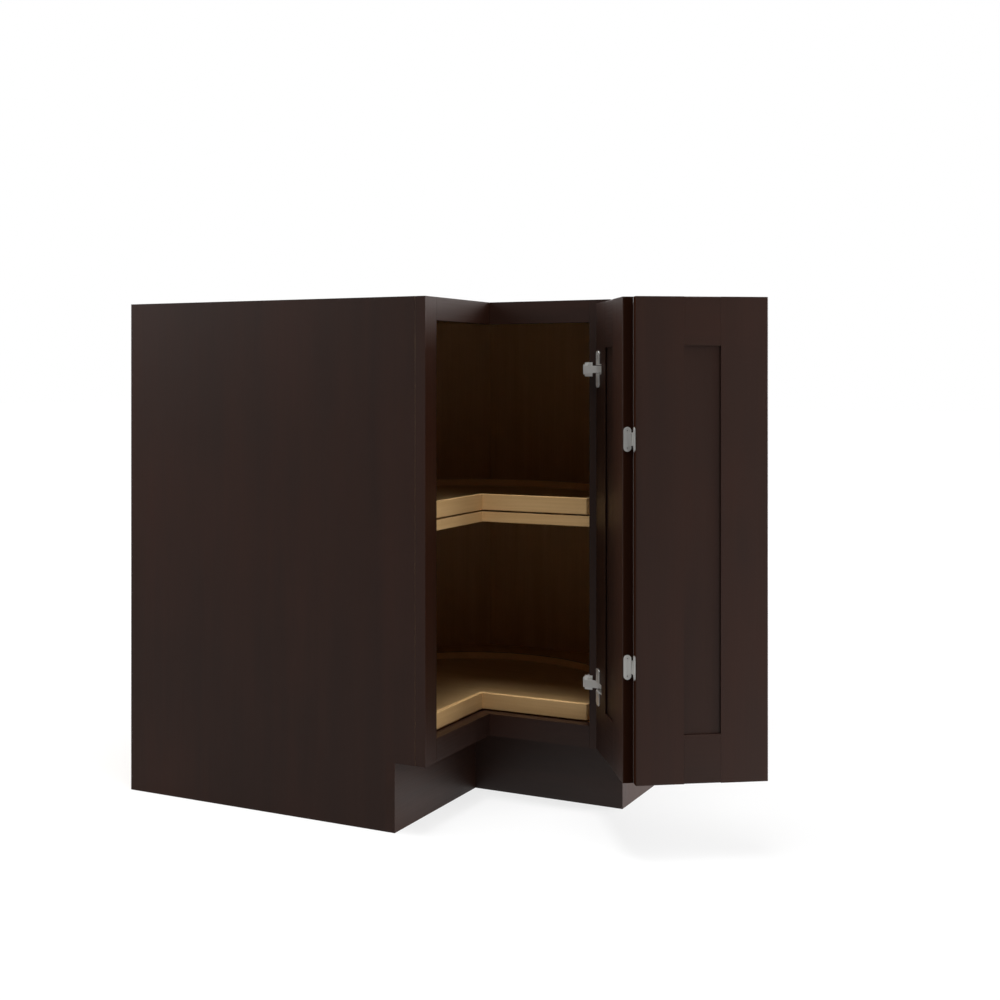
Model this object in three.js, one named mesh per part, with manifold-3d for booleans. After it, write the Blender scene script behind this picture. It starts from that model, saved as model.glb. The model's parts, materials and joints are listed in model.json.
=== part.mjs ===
// Corner carousel cabinet: an L-shaped kitchen base cabinet for a room corner, with two turning trays and a
// pair of door leaves joined at right angles. Millimetres, +Z up. Everything is laid out from the room's
// corner: +X runs along the back wall, -Y runs along the side wall, and the floor is z = 0. At the end the
// whole cabinet moves so that the origin is the centre of its footprint on the floor.

import * as THREE from 'three';
import { mergeVertices } from 'three/addons/utils/BufferGeometryUtils.js';
import Module from 'manifold-3d';

const wasm = await Module();
wasm.setup();

// --- driving dimensions -------------------------------------------------------------------------------

const HEIGHT = 876.3;            // 34.5 in
const LEG_LENGTH = 838.2;        // 33 in along each wall
const LEG_DEPTH = 609.6;         // 24 in from the wall to the face frame's front
const BACK_CLIP = 304.8;         // the room-side corner is cut off 12 in along each wall
const TOE_HEIGHT = 114.3;        // 4.5 in
const TOE_RECESS = 57.15;        // 2.25 in from the face frame's front to the toe-kick board
const TOE_BOARD = 15.9;

const PANEL = 12.7;              // plywood of the ends and backs
const FRAME_WIDTH = 38.1;        // stiles and rails of the face frame, 1.5 in
const FRAME_THICKNESS = 19.05;
const FLOOR_TOP = 150;
const SHELF_TOP = 505;
const SHELF_THICKNESS = 18;
const NOTCH = 582;               // front edges of the shelf and trays, measured from either wall
const CLEAT = 19;
const CLEAT_INSET = 60;
const BRACE = { reach: 110, width: 45, thickness: 19 };

const TRAY_AXIS = 508;           // 20 in from either wall
const TRAY_RADIUS = 285;
const TRAY_LIFT = 3;             // running clearance under a tray
const TRAY_HEIGHT = 28;
const TRAY_FLOOR = 15;
const TRAY_LIPPING = 9.5;
const BEARING_RADIUS = 52;
const BEARING_POCKET = { radius: 56, depth: 5.5 };
const BALL_RING = { inner: 38, outer: 46 };
const BEARING_PLATE = 1.8;
const BALL_RING_HEIGHT = 3.2;

const LEAF_BOTTOM = 119.5;
const LEAF_HEIGHT = 749.3;       // 29.5 in
const LEAF_THICKNESS = 17;
const LEAF_GAP = 1.8;            // between a closed leaf's back and the face frame
const LEAF_REVEAL = 0.4;         // a closed leaf stops this far inside the cabinet's side
const LEAF_FRAME = 75.5;         // width of a leaf's stiles and rails
const LEAF_EASE = 2;             // radius of a leaf's eased outer edges
const MEETING_EASE = 0.4;        // the same, on the front edges where the leaves meet
const LEAF_PANEL = 6;
const PANEL_RECESS = 3.3;        // from a leaf's back to its panel
const GROOVE_DEPTH = 8;
const FIT = 0.2;                 // glue-line gap between the pieces of a leaf
const METAL_GAP = 0.3;           // gap between hinge metal and the wood it lies on

const OPEN_ANGLE = THREE.MathUtils.degToRad(123.8);
const HINGE_HEIGHTS = { top: 758, bottom: 226 };
const HINGE_EDGE = 7;            // hinge pin, from the leaf's hinge edge
const HINGE_DEPTH = 10.8;        // hinge pin, from the leaf's back
const LEAF_HINGE_HEIGHTS = { top: 649, bottom: 298 };

// --- derived places -----------------------------------------------------------------------------------

const INNER_END = LEG_LENGTH - PANEL;
const FRAME_BACK = LEG_DEPTH - FRAME_THICKNESS;
const OPENING_EDGE = LEG_LENGTH - FRAME_WIDTH;
const CLIP_INNER = BACK_CLIP + PANEL * Math.SQRT2 - PANEL;
const TOE_FRONT = LEG_DEPTH - TOE_RECESS;
const TOE_BACK = TOE_FRONT - TOE_BOARD;
const FLOOR_BOTTOM = FLOOR_TOP - PANEL;
const SHELF_BOTTOM = SHELF_TOP - SHELF_THICKNESS;
const TOP_BOTTOM = HEIGHT - PANEL;
const LEAF_TOP = LEAF_BOTTOM + LEAF_HEIGHT;
const LEAF_BACK = LEG_DEPTH + LEAF_GAP;
const LEAF_FRONT = LEAF_BACK + LEAF_THICKNESS;
const LEAF_EDGE = LEG_LENGTH - LEAF_REVEAL;
const LEAF_WIDTH = LEAF_EDGE - LEAF_FRONT;
const HINGE_PIN = new THREE.Vector2(LEAF_EDGE - HINGE_EDGE, -(LEAF_BACK + HINGE_DEPTH));

// --- materials ----------------------------------------------------------------------------------------

const finish = (color, roughness, metalness = 0) =>
  new THREE.MeshStandardMaterial({ color, roughness, metalness });
const espresso = finish(0x3a2823, 0.42);
const maple = finish(0xc6a577, 0.5);
const nickel = finish(0xb9b9b4, 0.3, 1);
const zinc = finish(0xa7a9ab, 0.38, 1);

// --- solids -------------------------------------------------------------------------------------------

// A closed geometry as a manifold solid.
function solid(geometry) {
  const bare = geometry.index ? geometry.toNonIndexed() : geometry.clone();
  bare.deleteAttribute('normal');
  bare.deleteAttribute('uv');
  const merged = mergeVertices(bare, 1e-4);
  return new wasm.Manifold(new wasm.Mesh({
    numProp: 3,
    vertProperties: new Float32Array(merged.attributes.position.array),
    triVerts: new Uint32Array(merged.index.array),
  }));
}

// A manifold solid back as a geometry.
function geometryOf(body) {
  const mesh = body.getMesh();
  const geometry = new THREE.BufferGeometry();
  geometry.setAttribute('position', new THREE.BufferAttribute(mesh.vertProperties, 3));
  geometry.setIndex(new THREE.BufferAttribute(mesh.triVerts, 1));
  geometry.computeVertexNormals();
  return geometry;
}

const join = (...parts) => geometryOf(parts.map(solid).reduce((whole, part) => whole.add(part)));
const cut = (whole, ...tools) =>
  geometryOf(tools.map(solid).reduce((left, tool) => left.subtract(tool), solid(whole)));

// A plan outline, given as [x, y] points, standing from one height to another.
function slab(points, bottom, top) {
  const outline = new THREE.Shape(points.map(([x, y]) => new THREE.Vector2(x, y)));
  const geometry = new THREE.ExtrudeGeometry(outline, { depth: top - bottom, bevelEnabled: false });
  return geometry.translate(0, 0, bottom);
}

function box(x0, x1, y0, y1, z0, z1) {
  const geometry = new THREE.BoxGeometry(x1 - x0, y1 - y0, z1 - z0);
  return geometry.translate((x0 + x1) / 2, (y0 + y1) / 2, (z0 + z1) / 2);
}

// Points of an arc, from one angle to another in radians.
function arc(x, y, radius, from, to, steps) {
  return Array.from({ length: steps + 1 }, (_, i) => {
    const angle = from + ((to - from) * i) / steps;
    return [x + radius * Math.cos(angle), y + radius * Math.sin(angle)];
  });
}

// An upright round bar.
function rod(x, y, radius, bottom, top, sides = 24) {
  return slab(arc(x, y, radius, 0, 2 * Math.PI * (1 - 1 / sides), sides - 1), bottom, top);
}

// An outline given as [distance from the back wall, height], running towards the room's corner.
function run(points, from, to) {
  const outline = new THREE.Shape(points.map(([depth, z]) => new THREE.Vector2(depth, z)));
  const geometry = new THREE.ExtrudeGeometry(outline, { depth: from - to, bevelEnabled: false });
  const turn = new THREE.Matrix4().makeBasis(
    new THREE.Vector3(0, -1, 0), new THREE.Vector3(0, 0, 1), new THREE.Vector3(-1, 0, 0));
  return geometry.applyMatrix4(turn.setPosition(from, 0, 0));
}

// An outline given as [x, height], from one distance to another from the back wall.
function plate(points, back, front) {
  const outline = new THREE.Shape(points.map(([x, z]) => new THREE.Vector2(x, z)));
  const geometry = new THREE.ExtrudeGeometry(outline, { depth: front - back, bevelEnabled: false });
  const turn = new THREE.Matrix4().makeBasis(
    new THREE.Vector3(1, 0, 0), new THREE.Vector3(0, 0, 1), new THREE.Vector3(0, -1, 0));
  return geometry.applyMatrix4(turn.setPosition(0, -back, 0));
}

// The same piece on the other leg: mirrored in the plane that halves the room's corner.
function mirrored(geometry) {
  const copy = geometry.index ? geometry.toNonIndexed() : geometry.clone();
  const place = copy.attributes.position;
  for (let i = 0; i < place.count; i += 3) {
    const corners = [0, 2, 1].map((k) => [-place.getY(i + k), -place.getX(i + k), place.getZ(i + k)]);
    corners.forEach((corner, k) => place.setXYZ(i + k, ...corner));
  }
  copy.computeVertexNormals();
  return copy;
}

function piece(name, geometry, material) {
  const mesh = new THREE.Mesh(geometry, material);
  mesh.name = name;
  return mesh;
}

// --- carcass ------------------------------------------------------------------------------------------

// The end panel of the right leg, with the toe-kick notch.
const endPanel = run([
  [0, 0], [TOE_BACK, 0], [TOE_BACK, TOE_HEIGHT], [FRAME_BACK, TOE_HEIGHT], [FRAME_BACK, HEIGHT], [0, HEIGHT],
], LEG_LENGTH, INNER_END);

// The inside of the cabinet in plan, from wall panel to front edge.
const interior = (front) => [
  [PANEL, -INNER_END], [front, -INNER_END], [front, -front], [INNER_END, -front],
  [INNER_END, -PANEL], [CLIP_INNER, -PANEL], [PANEL, -CLIP_INNER],
];

const backRight = slab(
  [[BACK_CLIP, 0], [CLIP_INNER, -PANEL], [INNER_END, -PANEL], [INNER_END, 0]], 0, HEIGHT);
const backDiagonal = slab(
  [[0, -BACK_CLIP], [PANEL, -CLIP_INNER], [CLIP_INNER, -PANEL], [BACK_CLIP, 0]], 0, HEIGHT);

// An L-shaped block under the top panel, which ties the face frame's two halves at the inner corner.
const BRACE_END = FRAME_BACK + BRACE.reach;
const BRACE_BACK = FRAME_BACK - BRACE.width;
const cornerBrace = slab([
  [FRAME_BACK, -FRAME_BACK], [BRACE_END, -FRAME_BACK], [BRACE_END, -BRACE_BACK],
  [BRACE_BACK, -BRACE_BACK], [BRACE_BACK, -BRACE_END], [FRAME_BACK, -BRACE_END],
], TOP_BOTTOM - BRACE.thickness, TOP_BOTTOM);

// Strips that the fixed shelf rests on, along the end panels and the diagonal back.
const endCleat = box(INNER_END - CLEAT, INNER_END, -FRAME_BACK + CLEAT_INSET, -PANEL - CLEAT_INSET,
  SHELF_BOTTOM - CLEAT, SHELF_BOTTOM);
const diagonalCleat = slab([
  [PANEL, -CLIP_INNER], [PANEL + CLEAT, -CLIP_INNER], [CLIP_INNER, -PANEL - CLEAT], [CLIP_INNER, -PANEL],
], SHELF_BOTTOM - CLEAT, SHELF_BOTTOM);

// The toe-kick board of the left leg runs through the inner corner, and the right one meets it there. Each
// has an ear that covers the end panel's edge.
const toeLeft = join(
  box(TOE_BACK, TOE_FRONT, -INNER_END, -TOE_BACK, 0, FLOOR_BOTTOM),
  box(TOE_BACK, TOE_FRONT, -LEG_LENGTH, -INNER_END, 0, TOE_HEIGHT));
const toeRight = join(
  box(TOE_FRONT, INNER_END, -TOE_FRONT, -TOE_BACK, 0, FLOOR_BOTTOM),
  box(INNER_END, LEG_LENGTH, -TOE_FRONT, -TOE_BACK, 0, TOE_HEIGHT));

const carcass = new THREE.Group();
carcass.add(
  piece('end_panel_right', endPanel, espresso),
  piece('end_panel_left', mirrored(endPanel), espresso),
  piece('back_panel_right', backRight, maple),
  piece('back_panel_left', mirrored(backRight), maple),
  piece('back_panel_diagonal', backDiagonal, maple),
  piece('top_panel', slab(interior(FRAME_BACK), TOP_BOTTOM, HEIGHT), maple),
  piece('cabinet_floor', slab(interior(FRAME_BACK), FLOOR_BOTTOM, FLOOR_TOP), maple),
  piece('fixed_shelf', slab(interior(NOTCH), SHELF_BOTTOM, SHELF_TOP), maple),
  piece('shelf_cleat_right', endCleat, maple),
  piece('shelf_cleat_left', mirrored(endCleat), maple),
  piece('shelf_cleat_diagonal', diagonalCleat, maple),
  piece('corner_brace', cornerBrace, maple),
  piece('toe_kick_left', toeLeft, espresso),
  piece('toe_kick_right', toeRight, espresso),
);

// --- face frame ---------------------------------------------------------------------------------------

const stile = box(OPENING_EDGE, LEG_LENGTH, -LEG_DEPTH, -FRAME_BACK, TOE_HEIGHT, HEIGHT);
for (const [name, bottom] of [['top_rail', HEIGHT - FRAME_WIDTH], ['bottom_rail', TOE_HEIGHT]]) {
  const top = bottom + FRAME_WIDTH;
  carcass.add(
    piece(`${name}_right`, box(FRAME_BACK, OPENING_EDGE, -LEG_DEPTH, -FRAME_BACK, bottom, top), espresso),
    piece(`${name}_left`, box(FRAME_BACK, LEG_DEPTH, -OPENING_EDGE, -LEG_DEPTH, bottom, top), espresso));
}
carcass.add(piece('stile_right', stile, espresso), piece('stile_left', mirrored(stile), espresso));

// --- trays --------------------------------------------------------------------------------------------

// Where a line at a given distance from the walls crosses a circle round the tray's axis.
const reachAt = (line, radius) => TRAY_AXIS + Math.sqrt(radius ** 2 - (line - TRAY_AXIS) ** 2);
const angleAt = (line, radius) => -Math.asin((line - TRAY_AXIS) / radius);

// The arc of a tray's outline, from the front board on the right leg round to the one on the left leg.
function sweep(line, radius, steps) {
  const start = angleAt(line, radius);
  return arc(TRAY_AXIS, -TRAY_AXIS, radius, start, 1.5 * Math.PI - start, steps);
}

// A tray on its swivel bearing, standing on a board whose top is at the given height.
function tray(name, board) {
  const bottom = board + TRAY_LIFT;
  const top = bottom + TRAY_HEIGHT;
  const rimInner = TRAY_RADIUS - TRAY_LIPPING;
  const lippingBack = NOTCH - TRAY_LIPPING;
  const floorEdge = lippingBack - FIT;
  const floorOutline = [...sweep(floorEdge, rimInner - FIT, 72), [floorEdge, -floorEdge]];
  const platform = cut(
    slab(floorOutline, bottom, bottom + TRAY_FLOOR),
    rod(TRAY_AXIS, -TRAY_AXIS, BEARING_POCKET.radius, bottom - 1, bottom + BEARING_POCKET.depth, 40));
  const hoopLine = lippingBack - FIT;
  const hoop = slab(
    [...sweep(hoopLine, TRAY_RADIUS, 72), ...sweep(hoopLine, rimInner, 72).reverse()], bottom, top);
  const startOuter = angleAt(NOTCH, TRAY_RADIUS);
  const startInner = angleAt(lippingBack, TRAY_RADIUS);
  const frontBoard = slab([
    [NOTCH, -NOTCH], ...arc(TRAY_AXIS, -TRAY_AXIS, TRAY_RADIUS, startOuter, startInner, 3),
    [lippingBack, -lippingBack],
  ], bottom, top);
  const ringBottom = board + BEARING_PLATE;
  const topPlate = rod(TRAY_AXIS, -TRAY_AXIS, BEARING_RADIUS,
    ringBottom + BALL_RING_HEIGHT + METAL_GAP, bottom + BEARING_POCKET.depth, 40);
  const ballRing = cut(
    rod(TRAY_AXIS, -TRAY_AXIS, BALL_RING.outer, ringBottom, ringBottom + BALL_RING_HEIGHT, 40),
    rod(TRAY_AXIS, -TRAY_AXIS, BALL_RING.inner, ringBottom - 1, ringBottom + BALL_RING_HEIGHT + 1, 40));
  return [
    piece(`${name}_platform`, platform, maple),
    piece(`${name}_rim`, hoop, maple),
    piece(`${name}_front_right`, frontBoard, maple),
    piece(`${name}_front_left`, mirrored(frontBoard), maple),
    piece(`${name}_bearing_top`, topPlate, zinc),
    piece(`${name}_bearing_balls`, ballRing, zinc),
    piece(`${name}_bearing_base`,
      rod(TRAY_AXIS, -TRAY_AXIS, BEARING_RADIUS, board, board + BEARING_PLATE, 40), zinc),
  ];
}

// --- door leaves --------------------------------------------------------------------------------------

// A leaf is laid out closed on the right leg: u runs from its hinge edge towards the inner corner, and v
// from its back towards its front.
const uvPoint = ([u, v]) => [LEAF_EDGE - u, -(LEAF_BACK + v)];
const uvSlab = (points, bottom, top) => slab(points.map(uvPoint), bottom, top);
const uvBox = (u0, u1, v0, v1, z0, z1) =>
  box(LEAF_EDGE - u1, LEAF_EDGE - u0, -(LEAF_BACK + v1), -(LEAF_BACK + v0), z0, z1);

const GROOVE = { back: PANEL_RECESS - FIT, front: PANEL_RECESS + LEAF_PANEL + FIT };

// A stile's section: eased on its outer edge at u = 0, with a groove for the panel on its inner edge.
function stileSection(frontEase) {
  const far = LEAF_THICKNESS - frontEase;
  return [
    ...arc(frontEase, far, frontEase, Math.PI, Math.PI / 2, 3),
    [LEAF_FRAME, LEAF_THICKNESS], [LEAF_FRAME, GROOVE.front], [LEAF_FRAME - GROOVE_DEPTH, GROOVE.front],
    [LEAF_FRAME - GROOVE_DEPTH, GROOVE.back], [LEAF_FRAME, GROOVE.back], [LEAF_FRAME, 0],
    ...arc(LEAF_EASE, LEAF_EASE, LEAF_EASE, 1.5 * Math.PI, Math.PI, 3),
  ];
}
const hingeStile = uvSlab(stileSection(LEAF_EASE), LEAF_BOTTOM, LEAF_TOP);
const meetingStile = uvSlab(
  stileSection(MEETING_EASE).map(([u, v]) => [LEAF_WIDTH - u, v]), LEAF_BOTTOM, LEAF_TOP);

// The top rail, with stub tenons that fill the stiles' grooves. The bottom rail is the same, upside down.
function leafRail(upsideDown) {
  const outer = LEAF_FRAME - LEAF_EASE;
  const section = [
    [0, 0], [0, outer], ...arc(LEAF_EASE, outer, LEAF_EASE, Math.PI, Math.PI / 2, 3),
    ...arc(LEAF_THICKNESS - LEAF_EASE, outer, LEAF_EASE, Math.PI / 2, 0, 3), [LEAF_THICKNESS, 0],
    [GROOVE.front, 0], [GROOVE.front, GROOVE_DEPTH], [GROOVE.back, GROOVE_DEPTH], [GROOVE.back, 0],
  ];
  const placed = section.map(([v, z]) => [LEAF_BACK + v, LEAF_TOP - LEAF_FRAME + z]);
  const bar = run(placed, LEAF_EDGE - LEAF_FRAME - FIT, LEAF_EDGE - LEAF_WIDTH + LEAF_FRAME + FIT);
  const tenon = LEAF_FRAME - GROOVE_DEPTH + FIT;
  const tenonBottom = LEAF_TOP - LEAF_FRAME + GROOVE_DEPTH;
  const rail = join(bar, uvBox(tenon, LEAF_WIDTH - tenon, GROOVE.back + FIT, GROOVE.front - FIT,
    tenonBottom, LEAF_TOP - LEAF_EASE - 8));
  if (!upsideDown) return rail;
  const middle = LEAF_BOTTOM + LEAF_HEIGHT / 2;
  const turn = new THREE.Matrix4().makeRotationY(Math.PI);
  turn.setPosition(2 * (LEAF_EDGE - LEAF_WIDTH / 2), 0, 2 * middle);
  return rail.applyMatrix4(turn);
}

const panelInset = LEAF_FRAME - GROOVE_DEPTH + FIT;
const leafPanel = uvBox(panelInset, LEAF_WIDTH - panelInset, GROOVE.back + FIT, GROOVE.front - FIT,
  LEAF_BOTTOM + panelInset, LEAF_TOP - panelInset);

// --- frame hinges -------------------------------------------------------------------------------------

// Each hinge has a cup let into the leaf, with a flange on the leaf's back, and an arm that reaches from a
// bracket on the stile's edge, round the stile's corner, to the pin in the cup.
const HINGE = {
  mortise: { length: 45.3, depth: 14.7, half: 8.8 },
  cheek: { inner: 7, outer: 8.5 },
  cup: { from: 2, to: 45, floor: 13.6, depth: 14.4, lip: 0.5 },
  flange: { from: 6, to: 31, half: 30.5, face: 1.5, corner: 6 },
  eye: 2.4,
  pinHole: 1.4,
  pin: 1.1,
  armHalf: 6,
  block: { left: 789.5, right: 797.4, front: 610.9, back: 578, half: 8.5 },
  facePlate: { right: 806.2, front: 610.8, half: 12 },
  bracket: { front: 607, back: 577, half: 11 },
};

const mortise = (z) => uvBox(-1, HINGE.mortise.length, -1, HINGE.mortise.depth,
  z - HINGE.mortise.half, z + HINGE.mortise.half);

// One side of the flange, above or below the arm's slot, with round outer corners.
function flangeWing(z, side) {
  const { flange, cheek } = HINGE;
  const [near, far] = [LEAF_EDGE - flange.to, LEAF_EDGE - flange.from];
  const tip = flange.half - flange.corner;
  const outline = [
    [near, cheek.inner], [far, cheek.inner],
    ...arc(far - flange.corner, tip, flange.corner, 0, Math.PI / 2, 4),
    ...arc(near + flange.corner, tip, flange.corner, Math.PI / 2, Math.PI, 4),
  ].map(([x, up]) => [x, z + side * up]);
  return plate(outline, LEAF_BACK - flange.face, LEAF_BACK - METAL_GAP);
}

function hingeCup(z) {
  const { cheek, cup, flange } = HINGE;
  const cheekOutline = [
    [cup.from, cup.lip], [flange.from, cup.lip], [flange.from, -flange.face], [flange.to, -flange.face],
    [flange.to, cup.lip], [cup.to, cup.lip], [cup.to, cup.depth], [cup.from, cup.depth],
  ];
  const parts = [uvBox(cup.from, cup.to, cup.floor, cup.depth, z - cheek.outer, z + cheek.outer)];
  for (const side of [-1, 1]) {
    const [low, high] = [cheek.inner, cheek.outer].map((h) => z + side * h).sort((a, b) => a - b);
    parts.push(uvSlab(cheekOutline, low, high), flangeWing(z, side));
  }
  return cut(join(...parts), rod(HINGE_PIN.x, HINGE_PIN.y, HINGE.pinHole, z - 10, z + 10, 16));
}

const hingePin = (z) =>
  rod(HINGE_PIN.x, HINGE_PIN.y, HINGE.pin, z - HINGE.cheek.outer, z + HINGE.cheek.outer, 16);

function hingeArm(z) {
  const { block, facePlate, eye, armHalf } = HINGE;
  const strap = slab([
    [793.6, -605], [793.6, -617.2], [HINGE_PIN.x, HINGE_PIN.y - eye],
    [HINGE_PIN.x, HINGE_PIN.y + eye], [797, -614], [797, -605],
  ], z - armHalf, z + armHalf);
  const whole = join(strap, rod(HINGE_PIN.x, HINGE_PIN.y, eye, z - armHalf, z + armHalf, 16),
    box(block.left, block.right, -block.front, -block.back, z - block.half, z + block.half),
    box(block.left + 3, facePlate.right, -facePlate.front, -LEG_DEPTH,
      z - facePlate.half, z + facePlate.half));
  return cut(whole, rod(HINGE_PIN.x, HINGE_PIN.y, HINGE.pinHole, z - armHalf - 1, z + armHalf + 1, 16));
}

const hingeBracket = (z) => box(HINGE.block.right, OPENING_EDGE, -HINGE.bracket.front, -HINGE.bracket.back,
  z - HINGE.bracket.half, z + HINGE.bracket.half);

// --- hinges between the leaves ------------------------------------------------------------------------

// Each has an oval plate with a raised arm on either leaf's meeting edge, and a knuckle at the corner where
// the leaves meet.
const LEAF_HINGE = {
  plate: { from: 1.2, to: 13.6, half: 19.2, thickness: 1.2 },
  knuckle: 2.4,
  relief: 3,
  pinHole: 1.3,
  pin: 1,
  half: 10,
  tab: { reach: 9, thickness: 2.8, shoulder: 3.4 },
};
const MEETING = new THREE.Vector2(LEAF_FRONT, -LEAF_FRONT);

const knuckleRelief = (z) => rod(MEETING.x, MEETING.y, LEAF_HINGE.relief,
  z - LEAF_HINGE.half - 0.5, z + LEAF_HINGE.half + 0.5, 20);

// The half on the first leaf's meeting edge; the second leaf's half is its mirror image.
function leafHingeHalf(z, knuckleBottom, knuckleTop, extra) {
  const { plate: oval, tab, knuckle } = LEAF_HINGE;
  const face = LEAF_EDGE - LEAF_WIDTH - METAL_GAP;
  const middle = LEAF_BACK + (oval.from + oval.to) / 2;
  const round = (oval.to - oval.from) / 2;
  const outline = [
    ...arc(middle, z + oval.half - round, round, 0, Math.PI, 10),
    ...arc(middle, z - oval.half + round, round, Math.PI, 2 * Math.PI, 10),
  ];
  const whole = join(
    run(outline, face, face - oval.thickness),
    box(face - tab.thickness, face, METAL_GAP - LEAF_FRONT, METAL_GAP + tab.reach - LEAF_FRONT,
      knuckleBottom, knuckleTop),
    box(face - tab.thickness, face, tab.shoulder - LEAF_FRONT, METAL_GAP + tab.reach - LEAF_FRONT,
      z - LEAF_HINGE.half, z + LEAF_HINGE.half),
    rod(MEETING.x, MEETING.y, knuckle, knuckleBottom, knuckleTop, 20));
  return extra(whole);
}

const firstHalf = (z) => leafHingeHalf(z, z - LEAF_HINGE.half, z - METAL_GAP / 2, (whole) =>
  join(whole, rod(MEETING.x, MEETING.y, LEAF_HINGE.pin, z - LEAF_HINGE.half, z + LEAF_HINGE.half, 16)));
const secondHalf = (z) => mirrored(leafHingeHalf(z, z + METAL_GAP / 2, z + LEAF_HINGE.half, (whole) =>
  cut(whole, rod(MEETING.x, MEETING.y, LEAF_HINGE.pinHole, z, z + LEAF_HINGE.half + 1, 16))));

// --- assembly -----------------------------------------------------------------------------------------

const leafHinges = Object.entries(LEAF_HINGE_HEIGHTS);
const frameHinges = Object.entries(HINGE_HEIGHTS);
const reliefs = leafHinges.map(([, z]) => knuckleRelief(z));

const closedLeaves = new THREE.Group();
closedLeaves.add(
  piece('first_leaf_hinge_stile', cut(hingeStile, ...frameHinges.map(([, z]) => mortise(z))), espresso),
  piece('first_leaf_meeting_stile', cut(meetingStile, ...reliefs), espresso),
  piece('first_leaf_top_rail', leafRail(false), espresso),
  piece('first_leaf_bottom_rail', leafRail(true), espresso),
  piece('first_leaf_panel', leafPanel, espresso),
  piece('second_leaf_free_stile', mirrored(hingeStile), espresso),
  piece('second_leaf_meeting_stile', cut(mirrored(meetingStile), ...reliefs), espresso),
  piece('second_leaf_top_rail', mirrored(leafRail(false)), espresso),
  piece('second_leaf_bottom_rail', mirrored(leafRail(true)), espresso),
  piece('second_leaf_panel', mirrored(leafPanel), espresso),
);
for (const [place, z] of frameHinges) {
  closedLeaves.add(
    piece(`frame_hinge_cup_${place}`, hingeCup(z), nickel),
    piece(`frame_hinge_pin_${place}`, hingePin(z), nickel));
  carcass.add(
    piece(`frame_hinge_arm_${place}`, hingeArm(z), nickel),
    piece(`frame_hinge_bracket_${place}`, hingeBracket(z), nickel));
}
for (const [place, z] of leafHinges) {
  closedLeaves.add(
    piece(`leaf_hinge_first_half_${place}`, firstHalf(z), nickel),
    piece(`leaf_hinge_second_half_${place}`, secondHalf(z), nickel));
}

// The leaves stand open: turned together about the frame hinges' pins.
closedLeaves.position.set(-HINGE_PIN.x, -HINGE_PIN.y, 0);
const openLeaves = new THREE.Group();
openLeaves.add(closedLeaves);
openLeaves.rotation.z = OPEN_ANGLE;
openLeaves.position.set(HINGE_PIN.x, HINGE_PIN.y, 0);

const cabinet = new THREE.Group();
cabinet.add(carcass, ...tray('upper_tray', SHELF_TOP), ...tray('lower_tray', FLOOR_TOP), openLeaves);
cabinet.updateMatrixWorld(true);
const footprint = new THREE.Box3().setFromObject(cabinet, true);
const centre = footprint.getCenter(new THREE.Vector3());
cabinet.position.set(-centre.x, -centre.y, 0);

export default cabinet;
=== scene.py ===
"""The corner carousel cabinet's looks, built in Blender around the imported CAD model. Metres, +Z up."""

import json
import math

import bmesh
import bpy
from mathutils import Matrix, Vector

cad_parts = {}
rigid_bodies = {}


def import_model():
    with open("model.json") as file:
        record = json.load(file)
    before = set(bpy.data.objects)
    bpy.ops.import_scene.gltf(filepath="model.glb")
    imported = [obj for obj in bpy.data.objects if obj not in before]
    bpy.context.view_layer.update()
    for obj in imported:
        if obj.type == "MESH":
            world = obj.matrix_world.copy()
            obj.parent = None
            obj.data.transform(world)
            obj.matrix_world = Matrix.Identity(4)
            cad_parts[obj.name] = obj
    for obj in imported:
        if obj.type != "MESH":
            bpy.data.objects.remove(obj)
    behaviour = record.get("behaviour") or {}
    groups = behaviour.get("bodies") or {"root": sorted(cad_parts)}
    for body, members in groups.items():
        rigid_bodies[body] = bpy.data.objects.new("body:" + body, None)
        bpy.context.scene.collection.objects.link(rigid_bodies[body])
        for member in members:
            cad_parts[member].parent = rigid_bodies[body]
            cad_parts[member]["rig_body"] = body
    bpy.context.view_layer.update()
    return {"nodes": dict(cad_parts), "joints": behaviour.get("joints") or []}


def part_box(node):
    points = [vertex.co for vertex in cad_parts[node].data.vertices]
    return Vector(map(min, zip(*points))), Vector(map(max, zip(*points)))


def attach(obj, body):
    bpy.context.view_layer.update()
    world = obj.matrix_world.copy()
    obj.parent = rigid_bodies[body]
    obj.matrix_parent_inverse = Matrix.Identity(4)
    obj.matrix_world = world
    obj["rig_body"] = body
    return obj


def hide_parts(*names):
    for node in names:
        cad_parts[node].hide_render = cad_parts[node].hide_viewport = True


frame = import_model()

# --- Viewpoint ----------------------------------------------------------------------------------------
# The photograph was taken from the right of the doorway, level, a little below the height of the top
# edge. Its place is measured from the room's corner, where the cabinet's two backs would meet.

ROOM_CORNER = Vector((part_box("end_panel_left")[0].x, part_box("end_panel_right")[1].y, 0))
CAMERA_PLACE = Vector((1.7336, -2.8242, 0.7435))
CAMERA_YAW = math.radians(26.39)

camera = bpy.data.objects.new("camera", bpy.data.cameras.new("camera"))
camera.location = ROOM_CORNER + CAMERA_PLACE
camera.rotation_euler = (math.radians(90), 0, CAMERA_YAW)
camera.data.lens = 50.8
camera.data.shift_x = -0.0021
camera.data.shift_y = -0.1221
bpy.context.scene.collection.objects.link(camera)
bpy.context.scene.camera = camera

# --- End panels ---------------------------------------------------------------------------------------
# Half-inch plywood: stained espresso and lacquered outside, clear-lacquered maple inside. Their edges
# show the plies at the top, where a worktop will cover them, and the face frame hides them in front.


def grain_turn(direction):
    """The turn that brings a grain direction onto Z, as the angles of a Mapping node."""
    return Vector(direction).rotation_difference(Vector((0, 0, 1))).to_euler("XYZ")


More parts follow.
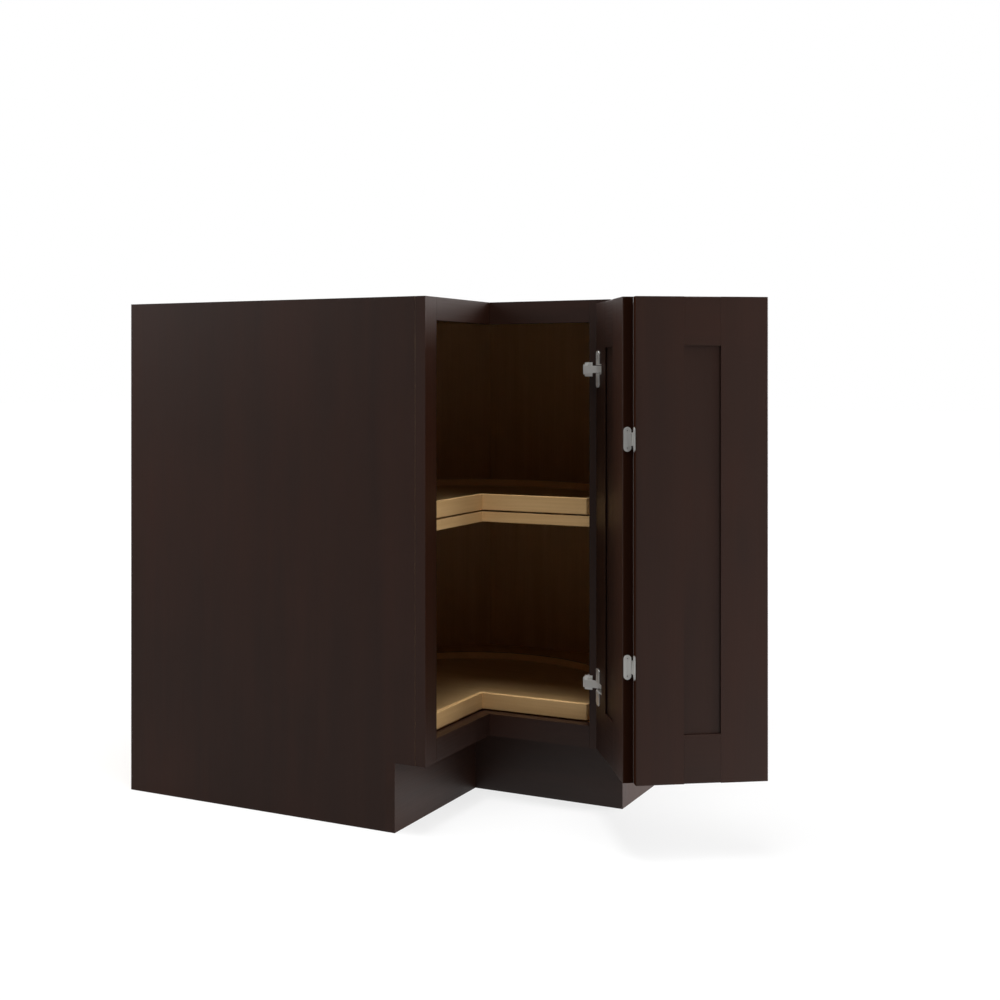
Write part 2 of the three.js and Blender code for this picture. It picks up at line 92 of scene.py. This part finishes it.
class Finish:
    """A material under construction: a Principled shader, and nodes joined to it one by one."""

    def __init__(self, name, **constants):
        self.material = bpy.data.materials.new(name)
        self.material.use_nodes = True
        self.nodes = self.material.node_tree.nodes
        self.shader = self.nodes["Principled BSDF"]
        for socket, value in constants.items():
            self.shader.inputs[socket.replace("_", " ")].default_value = value

    def node(self, kind, settings=None, **inputs):
        """A node with its settings made, and its inputs set or linked."""
        made = self.nodes.new(kind)
        for key, value in (settings or {}).items():
            setattr(made, key, value)
        for key, value in inputs.items():
            self.put(value, made.inputs[key.replace("_", " ")])
        return made

    def put(self, value, socket):
        """Sets a socket to a value, or links it to the output that gives the value."""
        if isinstance(value, bpy.types.NodeSocket):
            self.material.node_tree.links.new(value, socket)
        else:
            socket.default_value = value

    def stretched(self, turn, scale):
        """Object coordinates, turned so that the grain runs along Z, then scaled."""
        place = self.node("ShaderNodeTexCoord").outputs["Object"]
        turned = self.node("ShaderNodeMapping", Vector=place, Rotation=turn)
        return self.node("ShaderNodeMapping", Vector=turned.outputs["Vector"], Scale=scale).outputs["Vector"]

    def noise(self, vector, detail, distortion=0.0):
        """Soft noise, with one wave in each unit of its coordinates."""
        made = self.node("ShaderNodeTexNoise", Vector=vector, Scale=1.0, Detail=detail,
                         Roughness=0.55, Distortion=distortion)
        return made.outputs["Fac"]

    def ramp(self, factor, *stops):
        """A colour ramp between two stops, each given as (place, colour)."""
        made = self.node("ShaderNodeValToRGB", Fac=factor)
        for element, (place, color) in zip(made.color_ramp.elements, stops):
            element.position = place
            element.color = (*color, 1)
        return made.outputs["Color"]

    def span(self, factor, low, high, start=0.0, end=1.0):
        """A factor moved from start..end to low..high."""
        made = self.node("ShaderNodeMapRange", Value=factor, To_Min=low, To_Max=high,
                         From_Min=start, From_Max=end)
        return made.outputs["Result"]

    def mix(self, factor, a, b):
        """Colour a where the factor is 0, and b where it is 1."""
        made = self.node("ShaderNodeMix", {"data_type": "RGBA"})
        for index, value in ((0, factor), (6, a), (7, b)):
            self.put((*value, 1) if isinstance(value, tuple) else value, made.inputs[index])
        return made.outputs[2]

    def relief(self, height, depth):
        """Bump from a height of 0 to 1, with its real depth in metres."""
        bump = self.node("ShaderNodeBump", Height=height, Distance=depth, Strength=1.0)
        self.put(bump.outputs["Normal"], self.shader.inputs["Normal"])


ESPRESSO_DARK = (0.0200, 0.0072, 0.0038)
ESPRESSO_BASE = (0.0270, 0.0092, 0.0047)
ESPRESSO_RED = (0.0330, 0.0100, 0.0048)


def espresso(name, grain, shift=0.0, lacquer=0.40):
    """Dark stain over close-grained wood, under a satin lacquer that nearly fills the pores."""
    turn = grain_turn(grain)
    f = Finish(name, Specular_IOR_Level=lacquer)
    place = f.stretched(turn, (1, 1, 1))
    moved = f.node("ShaderNodeMapping", Vector=place, Location=(shift, shift * 0.7, shift * 1.3))

    def along(across, length):
        """Coordinates for a pattern that repeats so many times a metre across and along the grain."""
        scaled = f.node("ShaderNodeMapping", Vector=moved.outputs["Vector"], Scale=(across, across, length))
        return scaled.outputs["Vector"]

    mottle = f.noise(along(5.5, 2.6), detail=3)
    figure = f.noise(along(34, 1.7), detail=5, distortion=0.6)
    streaks = f.noise(along(430, 8), detail=3)
    pores = f.noise(along(1900, 60), detail=2)
    red = f.span(mottle, 0, 1, 0.42, 0.66)
    stain = f.mix(f.span(figure, 0, 1, 0.3, 0.7), ESPRESSO_DARK, ESPRESSO_BASE)
    stain = f.mix(red, stain, f.mix(f.span(figure, 0, 1, 0.25, 0.75), ESPRESSO_BASE, ESPRESSO_RED))
    stain = f.mix(f.span(streaks, 0.0, 0.22, 0.35, 0.7), stain, ESPRESSO_DARK)
    f.put(stain, f.shader.inputs["Base Color"])
    f.put(f.span(streaks, 0.42, 0.50, 0.3, 0.7), f.shader.inputs["Roughness"])
    f.relief(f.span(pores, 0, 1, 0.35, 0.6), 0.00002)
    return f.material


MAPLE_PALE = (0.680, 0.450, 0.215)
MAPLE_BASE = (0.610, 0.385, 0.170)
MAPLE_DARK = (0.470, 0.270, 0.105)


def maple(name, grain, tone=1.0, roughness=0.42):
    """Maple with a fine, even grain and short flecks, under clear lacquer."""
    turn = grain_turn(grain)
    f = Finish(name, Specular_IOR_Level=0.4)
    along = lambda across, length: f.stretched(turn, (across, across, length))
    shade = lambda color: tuple(channel * tone for channel in color)
    figure = f.noise(along(22, 1.4), detail=6, distortion=1.2)
    streaks = f.noise(along(300, 6), detail=3)
    flecks = f.noise(along(1300, 130), detail=2)
    color = f.ramp(figure, (0.30, shade(MAPLE_BASE)), (0.70, shade(MAPLE_PALE)))
    color = f.mix(f.span(streaks, 0.0, 0.28, 0.35, 0.75), color, shade(MAPLE_DARK))
    color = f.mix(f.span(flecks, 0.0, 0.28, 0.62, 0.72), color, shade(MAPLE_DARK))
    f.put(color, f.shader.inputs["Base Color"])
    f.put(f.span(streaks, roughness, roughness + 0.1), f.shader.inputs["Roughness"])
    f.relief(flecks, 0.00004)
    return f.material


PLY_THICKNESS = 0.0021
PLY_PALE = (0.560, 0.400, 0.230)
PLY_DARK = (0.300, 0.175, 0.085)
SAWN_DARK = (0.210, 0.120, 0.060)
UP = (0, 0, 1)
ALONG_BACK = (1, 0, 0)
ALONG_SIDE = (0, 1, 0)


def ply_edge(name, across=UP, hoop_axis=None):
    """A sawn plywood edge, its layers in turn pale and dark: in lines, or in rings about a hoop's axis."""
    turn = grain_turn(across)
    f = Finish(name, Specular_IOR_Level=0.3, Roughness=0.75)
    layers = f.stretched(turn, (0.02 / PLY_THICKNESS, 0.02 / PLY_THICKNESS, 1 / PLY_THICKNESS))
    height = f.node("ShaderNodeSeparateXYZ", Vector=layers).outputs["Z"]
    if hoop_axis:
        flat = f.node("ShaderNodeVectorMath", {"operation": "MULTIPLY"})
        f.put(f.node("ShaderNodeTexCoord").outputs["Object"], flat.inputs[0])
        flat.inputs[1].default_value = (1, 1, 0)
        reach = f.node("ShaderNodeVectorMath", {"operation": "DISTANCE"})
        f.put(flat.outputs["Vector"], reach.inputs[0])
        reach.inputs[1].default_value = (*hoop_axis, 0)
        rings = f.node("ShaderNodeMath", {"operation": "DIVIDE"})
        f.put(reach.outputs["Value"], rings.inputs[0])
        rings.inputs[1].default_value = PLY_THICKNESS
        height = rings.outputs["Value"]
    step = f.node("ShaderNodeMath", {"operation": "PINGPONG"})
    f.put(height, step.inputs[0])
    step.inputs[1].default_value = 1.0
    sawn = f.noise(f.stretched(turn, (900, 900, 900)), detail=3)
    color = f.ramp(step.outputs["Value"], (0.35, PLY_DARK), (0.55, PLY_PALE))
    color = f.mix(f.span(sawn, 0.0, 0.5, 0.35, 0.75), color, SAWN_DARK)
    f.put(color, f.shader.inputs["Base Color"])
    f.relief(sawn, 0.0002)
    return f.material


espresso_upright = espresso("espresso_upright", UP)
maple_upright = maple("maple_upright", UP)

SHARP = math.radians(50)


def dressed(node, finishes, ease=0.0, eased=lambda a, b: True, choose=lambda normal: 0):
    """A solid's own shape with whole flat faces, its chosen sharp edges eased, and a finish on each face.

    eased says from an edge's two ends whether it is eased. choose gives a face's finish, by its number in
    finishes, from the way it faces.
    """
    mesh = bmesh.new()
    mesh.from_mesh(frame["nodes"][node].data)
    bmesh.ops.remove_doubles(mesh, verts=mesh.verts, dist=1e-6)
    bmesh.ops.dissolve_limit(mesh, angle_limit=math.radians(0.5), verts=mesh.verts, edges=mesh.edges)
    if ease:
        sharp = [edge for edge in mesh.edges if edge.calc_face_angle(0) > SHARP
                 and eased(edge.verts[0].co, edge.verts[1].co)]
        bmesh.ops.bevel(mesh, geom=sharp, offset=ease, segments=3, profile=0.5, affect="EDGES",
                        clamp_overlap=True)
    for face in mesh.faces:
        face.smooth = True
        face.material_index = choose(face.normal)
    data = bpy.data.meshes.new(node + "_dressed")
    mesh.to_mesh(data)
    mesh.free()
    data.set_sharp_from_angle(angle=SHARP)
    for finish in finishes:
        data.materials.append(finish)
    piece = bpy.data.objects.new(node + "_dressed", data)
    bpy.context.scene.collection.objects.link(piece)
    weighted = piece.modifiers.new("flat faces stay flat", "WEIGHTED_NORMAL")
    weighted.keep_sharp = True
    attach(piece, frame["nodes"][node]["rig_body"])
    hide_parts(node)
    return piece


def sheet_sides(outward):
    """Face 0 is the sheet's outer side, 1 its inner side and 2 its edges."""
    out = Vector(outward).normalized()

    def side(normal):
        lean = normal.dot(out)
        return 0 if lean > 0.9 else 1 if lean < -0.9 else 2

    return side


for node, outward in (("end_panel_left", (0, -1, 0)), ("end_panel_right", (1, 0, 0))):
    edge = ply_edge(f"ply_edge_{node}", outward)
    dressed(node, [espresso_upright, maple_upright, edge], choose=sheet_sides(outward))

# --- Back panels --------------------------------------------------------------------------------------
# Three upright sheets of half-inch plywood, the middle one across the room's corner. Inside they are
# clear-lacquered maple; outside, against the walls, the veneer is bare.

bare_veneer = maple("bare_veneer", UP, tone=0.92, roughness=0.7)
for node, outward in (("back_panel_left", (-1, 0, 0)), ("back_panel_right", (0, 1, 0)),
                      ("back_panel_diagonal", (-1, 1, 0))):
    edge = ply_edge(f"ply_edge_{node}", outward)
    dressed(node, [bare_veneer, maple_upright, edge], choose=sheet_sides(outward))

# --- Top panel, shelf and cleats ----------------------------------------------------------------------
# Level boards of maple plywood: half an inch for the top panel, thicker for the shelf and the brace. The
# shelf lies on maple strips, and its front edge is banded with pale maple. The top panel and the brace
# under it have sawn edges, which the face frame hides.

maple_along_back = maple("maple_along_back", ALONG_BACK)
pale_along_back = maple("pale_along_back", ALONG_BACK, tone=1.26)
pale_along_side = maple("pale_along_side", ALONG_SIDE, tone=1.26)


def banding(normal):
    """Face 0 is a board's level side, 1 an edge that runs along the back and 2 one along the side."""
    return 0 if abs(normal.z) > 0.5 else 1 if abs(normal.y) > 0.5 else 2


dressed("fixed_shelf", [maple_along_back, pale_along_back, pale_along_side], ease=0.0005,
        choose=banding)
for node in ("shelf_cleat_left", "shelf_cleat_right", "shelf_cleat_diagonal"):
    dressed(node, [maple_along_back], ease=0.0005)
bare_top = maple("bare_top", ALONG_BACK, tone=0.92, roughness=0.7)
edge = ply_edge("ply_edge_level", UP)
for node in ("top_panel", "corner_brace"):
    dressed(node, [bare_top, maple_along_back, edge], choose=sheet_sides(UP))

# --- Face frame and toe kick --------------------------------------------------------------------------
# Solid maple strips, doweled and glued into one frame, stained espresso like the end panels. The
# toe-kick boards stand back under the frame and meet in the inner corner. The stiles' long edges are eased.

espresso_along_back = espresso("espresso_along_back", ALONG_BACK, shift=3.1)
espresso_along_side = espresso("espresso_along_side", ALONG_SIDE, shift=5.3)
for node in ("stile_left", "stile_right"):
    dressed(node, [espresso_upright], ease=0.0006, eased=lambda a, b: abs(a.z - b.z) > 0.5)
for node in ("top_rail_right", "bottom_rail_right", "toe_kick_right"):
    dressed(node, [espresso_along_back])
for node in ("top_rail_left", "bottom_rail_left", "toe_kick_left"):
    dressed(node, [espresso_along_side])

# --- Cabinet floor ------------------------------------------------------------------------------------
# A level sheet of half-inch plywood, which rests on the toe-kick boards and carries the lower tray. It is
# clear-lacquered maple. A front strip behind the bottom rails is painted with their espresso as shade.

# Width of the floor's front strip that is painted dark espresso as shade.
PAINTED_SHADE_STRIP = 0.012
floor_board = dressed("cabinet_floor", [maple_along_back, espresso_along_back])
strip_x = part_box("bottom_rail_left")[0].x - PAINTED_SHADE_STRIP
strip_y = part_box("bottom_rail_right")[1].y + PAINTED_SHADE_STRIP
mesh = bmesh.new()
mesh.from_mesh(floor_board.data)
for place, across in (((strip_x, 0, 0), (1, 0, 0)), ((0, strip_y, 0), (0, 1, 0))):
    bmesh.ops.bisect_plane(mesh, geom=mesh.verts[:] + mesh.edges[:] + mesh.faces[:],
                           plane_co=place, plane_no=across)
# Faces inside the front strip take the espresso: painted shade, not a stain the floor has.
for face in mesh.faces:
    middle = face.calc_center_median()
    face.material_index = int(middle.x > strip_x and middle.y < strip_y)
mesh.to_mesh(floor_board.data)
mesh.free()

# --- Trays --------------------------------------------------------------------------------------------
# A plywood disc with a quarter cut out, a bent-ply hoop round it and two straight front boards. The
# hoop's top shows its plies. Each tray stands on a thin zinc-plated swivel bearing.

tray_axis = next(joint["pos_m"][:2] for joint in frame["joints"] if joint["name"] == "upper_tray_spin")
hoop_edge = ply_edge("ply_edge_hoop", hoop_axis=tray_axis)
tray_board = maple("tray_board", ALONG_BACK, tone=0.78)
for tray in ("upper_tray", "lower_tray"):
    dressed(f"{tray}_platform", [tray_board])
    dressed(f"{tray}_rim", [pale_along_back, hoop_edge], ease=0.0008,
            choose=lambda normal: int(normal.z > 0.9))
    dressed(f"{tray}_front_right", [pale_along_back], ease=0.0008)
    dressed(f"{tray}_front_left", [pale_along_side], ease=0.0008)


def plated(name, color, roughness, metallic=1.0):
    """Plated metal with faint smears. metallic is lower where the plate is dull."""
    f = Finish(name, Metallic=metallic)
    f.put((*color, 1), f.shader.inputs["Base Color"])
    smears = f.noise(f.stretched((0, 0, 0), (160, 160, 160)), detail=4)
    f.put(f.span(smears, roughness - 0.06, roughness + 0.08), f.shader.inputs["Roughness"])
    return f.material


zinc = plated("zinc", (0.52, 0.53, 0.55), 0.36)
for tray in ("upper_tray", "lower_tray"):
    for part in ("top", "balls", "base"):
        dressed(f"{tray}_bearing_{part}", [zinc])

# --- Door leaves --------------------------------------------------------------------------------------
# Two five-piece doors with flat recessed panels. Stiles and panel have upright grain and the rails have
# it across. Every outer edge is eased, and the edges where the leaves meet are stained but not lacquered.
# The rails' stub tenons, which stop short in the solids, are lengthened to fill the stiles' grooves.

TENON_SHORT_BY = 0.010
TENON_RECESS = 0.0003

door_swing = next(joint for joint in frame["joints"] if joint["name"] == "door_swing")
OPEN_ANGLE = math.radians(-door_swing["range_deg"][0])

# The direction across each leaf, its outer stile, and what sets its grain apart.
LEAVES = {
    "first_leaf": (math.pi + OPEN_ANGLE, "hinge_stile", 7.9),
    "second_leaf": (OPEN_ANGLE - math.pi / 2, "free_stile", 11.3),
}
for leaf, (heading, outer_stile, shift) in LEAVES.items():
    across = Vector((math.cos(heading), math.sin(heading), 0))
    espresso_rail = espresso(f"espresso_{leaf}_rails", across, shift)
    espresso_panel = espresso(f"espresso_{leaf}_panel", UP, shift + 1.7)
    bare_stain = espresso(f"espresso_{leaf}_meeting_edge", UP, shift, lacquer=0.0)
    dressed(f"{leaf}_{outer_stile}", [espresso_upright])
    dressed(f"{leaf}_meeting_stile", [espresso_upright, bare_stain],
            choose=lambda normal: int(abs(normal.dot(across)) > 0.95))
    dressed(f"{leaf}_panel", [espresso_panel])
    for part, corner, inward in (("top_rail", 1, -1), ("bottom_rail", 0, 1)):
        rail = dressed(f"{leaf}_{part}", [espresso_rail])
        leaf_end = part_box(f"{leaf}_{part}")[corner].z
        for vertex in rail.data.vertices:
            if abs(vertex.co.z - leaf_end - inward * TENON_SHORT_BY) < 0.0001:
                vertex.co.z = leaf_end + inward * TENON_RECESS

# --- Hinges -------------------------------------------------------------------------------------------
# Pressed and cast steel under nickel plate, duller on the frame hinges. Countersunk cross-slot screws
# hold the frame hinges' flanges and the leaf hinges' oval plates, and one more sets each arm.

nickel = plated("nickel", (0.82, 0.81, 0.78), 0.30, metallic=0.8)
satin_nickel = plated("satin_nickel", (0.90, 0.89, 0.86), 0.40, metallic=0.6)
# Dark grey for the floor of each screw's cross slot: painted shade in the recess.
slot_painted_shade = plated("screw_slot_painted_shade", (0.22, 0.21, 0.20), 0.5)
door_turn = Matrix.Rotation(OPEN_ANGLE, 3, "Z")
fold = next(joint for joint in frame["joints"] if joint["name"] == "leaf_fold")


def from_joint(joint, x, y, z):
    """A place at height z that lies x and y millimetres from a joint's axis, as the closed leaves lie."""
    return Vector((*joint["pos_m"][:2], 0)) + door_turn @ Vector((x, y, 0)) / 1000 + Vector((0, 0, z))


def aimed(outward):
    """The turn that points a piece's Z outward."""
    return Vector(outward).to_track_quat("Z", "Y").to_matrix().to_4x4()


SCREW_SIDES = 32
SCREW_DEPTH = 0.0012
SCREW_CROWN = 0.00012
SLOT_DEPTH = 0.0009


def screw(name, place, outward, radius, spin, body):
    """A flat screw head, sunk into its plate, whose cross slot is turned by spin. The slot's floor is
    painted dark as shade.
    """
    mesh = bmesh.new()
    arm, half = radius * 0.56, radius * 0.15
    slot_points = [(arm, half), (half, half), (half, arm), (-half, arm), (-half, half), (-arm, half),
                   (-arm, -half), (-half, -half), (-half, -arm), (half, -arm), (half, -half), (arm, -half)]
    turns = [2 * math.pi * i / SCREW_SIDES for i in range(SCREW_SIDES)]
    rims = []
    for reach, height in ((radius, -SCREW_DEPTH), (radius, 0.0), (radius * 0.93, SCREW_CROWN)):
        rims.append([mesh.verts.new((reach * math.cos(t), reach * math.sin(t), height)) for t in turns])
    lips = [mesh.verts.new((x, y, SCREW_CROWN)) for x, y in slot_points]
    floor = [mesh.verts.new((x * 0.6, y * 0.6, -SLOT_DEPTH)) for x, y in slot_points]
    for lower, upper in ((rims[0], rims[1]), (rims[1], rims[2]), (floor, lips)):
        count = len(lower)
        for i in range(count):
            quad = (lower[i], lower[(i + 1) % count], upper[(i + 1) % count], upper[i])
            mesh.faces.new(quad if lower is not floor else quad[::-1])
    mesh.faces.new(rims[0][::-1])
    # The slot's floor takes the painted shade.
    mesh.faces.new(floor).material_index = 1
    between = [mesh.edges.get((ring[i], ring[(i + 1) % len(ring)]))
               for ring in (rims[2], lips) for i in range(len(ring))]
    bmesh.ops.triangle_fill(mesh, use_beauty=True, use_dissolve=False, edges=between, normal=(0, 0, 1))
    bmesh.ops.recalc_face_normals(mesh, faces=mesh.faces)
    mesh.transform(Matrix.Translation(place) @ aimed(outward) @ Matrix.Rotation(spin, 4, "Z"))
    data = bpy.data.meshes.new(name)
    mesh.to_mesh(data)
    mesh.free()
    data.materials.append(nickel)
    data.materials.append(slot_painted_shade)
    head = bpy.data.objects.new(name, data)
    bpy.context.scene.collection.objects.link(head)
    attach(head, body)


DRILL_LENGTH = 0.004


def drilled(piece, holes, outward, radius):
    """Holes for screws, each cut clean through a thin plate."""
    for place in holes:
        drill = bmesh.new()
        bmesh.ops.create_cone(drill, cap_ends=True, segments=SCREW_SIDES, radius1=radius, radius2=radius,
                              depth=DRILL_LENGTH)
        drill.transform(Matrix.Translation(place) @ aimed(outward))
        data = bpy.data.meshes.new("drill")
        drill.to_mesh(data)
        drill.free()
        tool = bpy.data.objects.new("drill", data)
        bpy.context.scene.collection.objects.link(tool)
        cut = piece.modifiers.new("screw hole", "BOOLEAN")
        cut.operation = "DIFFERENCE"
        cut.solver = "EXACT"
        cut.object = tool
        shape = bpy.data.meshes.new_from_object(piece.evaluated_get(bpy.context.evaluated_depsgraph_get()))
        piece.modifiers.remove(cut)
        piece.data = shape
        bpy.data.objects.remove(tool)


FLANGE_SCREW = {"radius": 0.0034, "hole": 0.0035, "rise": 0.021, "place": (-11.5, 12.2)}
PLATE_SCREW = {"radius": 0.0028, "hole": 0.0029, "rise": 0.0135}
ARM_SCREW = {"radius": 0.0033, "along": 0.0014, "forward": 0.0015, "rise": 0.0077}
OVAL_PLATES = (("first_half", "hinged_leaf", (-1.5, 9.6), (-1, 0, 0)),
               ("second_half", "folding_leaf", (-9.6, 1.5), (0, 1, 0)))

for height in ("top", "bottom"):
    hinge = {part: dressed(f"frame_hinge_{part}_{height}", [satin_nickel], ease=ease)
             for part, ease in (("cup", 0.0003), ("pin", 0.0002), ("arm", 0.0008), ("bracket", 0.0003))}
    low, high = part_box(f"frame_hinge_cup_{height}")
    middle = (low.z + high.z) / 2
    back = door_turn @ Vector((0, 1, 0))
    screws = [from_joint(door_swing, *FLANGE_SCREW["place"], middle + side * FLANGE_SCREW["rise"])
              for side in (-1, 1)]
    drilled(hinge["cup"], screws, back, FLANGE_SCREW["hole"])
    for number, place in enumerate(screws):
        screw(f"frame_hinge_{height}_flange_screw_{number}", place, back, FLANGE_SCREW["radius"],
              0.4 + number * 1.1, "hinged_leaf")
    frame_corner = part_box("stile_right")[0]
    arm_screw = Vector((frame_corner.x + ARM_SCREW["along"], frame_corner.y - ARM_SCREW["forward"],
                        middle + ARM_SCREW["rise"]))
    screw(f"frame_hinge_{height}_arm_screw", arm_screw, (0, -1, 0), ARM_SCREW["radius"], 0.7, "cabinet")
    for part, body, offset, outward in OVAL_PLATES:
        plate = dressed(f"leaf_hinge_{part}_{height}", [nickel], ease=0.0003)
        low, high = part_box(f"leaf_hinge_{part}_{height}")
        middle = (low.z + high.z) / 2
        outward = door_turn @ Vector(outward)
        screws = [from_joint(fold, *offset, middle + side * PLATE_SCREW["rise"]) for side in (-1, 1)]
        drilled(plate, screws, outward, PLATE_SCREW["hole"])
        for number, place in enumerate(screws):
            screw(f"leaf_hinge_{part}_{height}_screw_{number}", place, outward, PLATE_SCREW["radius"],
                  0.2 + number * 0.8, body)

# --- Studio -------------------------------------------------------------------------------------------
# A wide floor in a plain room, which is bright behind the cabinet and grey in front. The camera sees both
# as white, and reflections see the room. The floor keeps the cabinet's shadow.

scene = bpy.context.scene
scene.view_settings.view_transform = "Standard"
BRIGHT_SIDE = Vector((0.35, 0.94, 0))     # towards the bright end of the room


def joined(tree, kind, settings=None, **inputs):
    """A node of a studio material, with its inputs set or linked."""
    made = tree.nodes.new(kind)
    for key, value in (settings or {}).items():
        setattr(made, key, value)
    for key, value in inputs.items():
        socket = made.inputs[int(key[1:])] if key[0] == "_" else made.inputs[key.replace("_", " ")]
        if isinstance(value, bpy.types.NodeSocket):
            tree.links.new(value, socket)
        else:
            socket.default_value = value
    return made.outputs


def brightness(tree, place, reach, dim, bright, seen, ambient):
    """How bright the studio is: seen by the camera, as a room in reflections, and as ambient light."""
    path = joined(tree, "ShaderNodeLightPath")
    along = joined(tree, "ShaderNodeVectorMath", {"operation": "DOT_PRODUCT"},
                   _0=place, _1=BRIGHT_SIDE)["Value"]
    room = joined(tree, "ShaderNodeMapRange", {"interpolation_type": "SMOOTHSTEP"}, Value=along,
                  From_Min=reach[0], From_Max=reach[1], To_Min=dim, To_Max=bright)["Result"]
    mirrored = joined(tree, "ShaderNodeMath", {"operation": "MAXIMUM"}, _0=path["Is Glossy Ray"],
                      _1=path["Is Transmission Ray"])["Value"]
    level = joined(tree, "ShaderNodeMix", {"data_type": "FLOAT"}, _0=mirrored, _2=ambient, _3=room)[0]
    return joined(tree, "ShaderNodeMix", {"data_type": "FLOAT"},
                  _0=path["Is Camera Ray"], _2=level, _3=seen)[0]


world = bpy.data.worlds.new("surround")
world.use_nodes = True
scene.world = world
tree = world.node_tree
direction = joined(tree, "ShaderNodeTexCoord")["Generated"]
room = tree.nodes["Background"]
room.inputs["Color"].default_value = (1, 1, 1, 1)
strength = brightness(tree, direction, reach=(-0.45, 1.0), dim=0.1, bright=1.4, seen=1.0, ambient=0.07)
tree.links.new(strength, room.inputs["Strength"])

FLOOR_HALF = 30.0
FLOOR_DROP = 0.0005
corners = [(x * FLOOR_HALF, y * FLOOR_HALF, -FLOOR_DROP) for x, y in ((-1, -1), (1, -1), (1, 1), (-1, 1))]
floor_mesh = bpy.data.meshes.new("studio_floor")
floor_mesh.from_pydata(corners, [], [(0, 1, 2, 3)])
floor = bpy.data.objects.new("studio_floor", floor_mesh)
scene.collection.objects.link(floor)
floor_finish = bpy.data.materials.new("studio_floor")
floor_finish.use_nodes = True
tree = floor_finish.node_tree
card = tree.nodes["Principled BSDF"]
card.inputs["Base Color"].default_value = (0.2, 0.2, 0.2, 1)
card.inputs["Roughness"].default_value = 1.0
card.inputs["Specular IOR Level"].default_value = 0.0
card.inputs["Emission Color"].default_value = (1, 1, 1, 1)
place = joined(tree, "ShaderNodeTexCoord")["Object"]
away = joined(tree, "ShaderNodeVectorMath", {"operation": "LENGTH"}, _0=place)["Value"]
seen = joined(tree, "ShaderNodeMapRange", {"interpolation_type": "SMOOTHSTEP"}, Value=away,
              From_Min=1.0, From_Max=3.5, To_Min=0.78, To_Max=1.0)["Result"]
strength = brightness(tree, place, reach=(-0.5, 0.0), dim=0.10, bright=0.68, seen=seen, ambient=0.16)
tree.links.new(strength, card.inputs["Emission Strength"])
floor.data.materials.append(floor_finish)


CABINET_MIDDLE = Vector((0, 0, 0.45))
LAMP_DISTANCE = 4.0


def softbox(name, azimuth, elevation, width, height, level, mirrored=True):
    """A lamp aimed at the cabinet. level is how bright it makes a white card that faces it."""
    turn, rise = math.radians(azimuth), math.radians(elevation)
    away = Vector((math.sin(turn) * math.cos(rise), -math.cos(turn) * math.cos(rise), math.sin(rise)))
    lamp = bpy.data.lights.new(name, "AREA")
    lamp.shape = "RECTANGLE"
    lamp.size, lamp.size_y = width, height
    lamp.energy = level * math.pi**2 * LAMP_DISTANCE**2
    stand = bpy.data.objects.new(name, lamp)
    stand.visible_glossy = mirrored
    stand.location = CABINET_MIDDLE + away * LAMP_DISTANCE
    stand.rotation_euler = away.to_track_quat("Z", "Y").to_euler()
    scene.collection.objects.link(stand)


softbox("lamp_overhead", 15, 78, 1.2, 1.2, 0.60)
softbox("lamp_over_front", 32, 65, 1.2, 1.2, 0.28, mirrored=False)
softbox("lamp_left", -60, 26, 2.2, 2.0, 0.28)
softbox("lamp_left_low", -75, 6, 1.6, 1.6, 0.76, mirrored=False)
softbox("lamp_right", 112, 8, 1.8, 1.8, 0.95)
softbox("lamp_right_low", 75, 6, 1.6, 1.6, 0.25, mirrored=False)
softbox("lamp_right_high", 60, 45, 1.4, 1.4, 0.09, mirrored=False)
softbox("lamp_back_left", -130, 25, 2.4, 2.0, 0.25, mirrored=False)
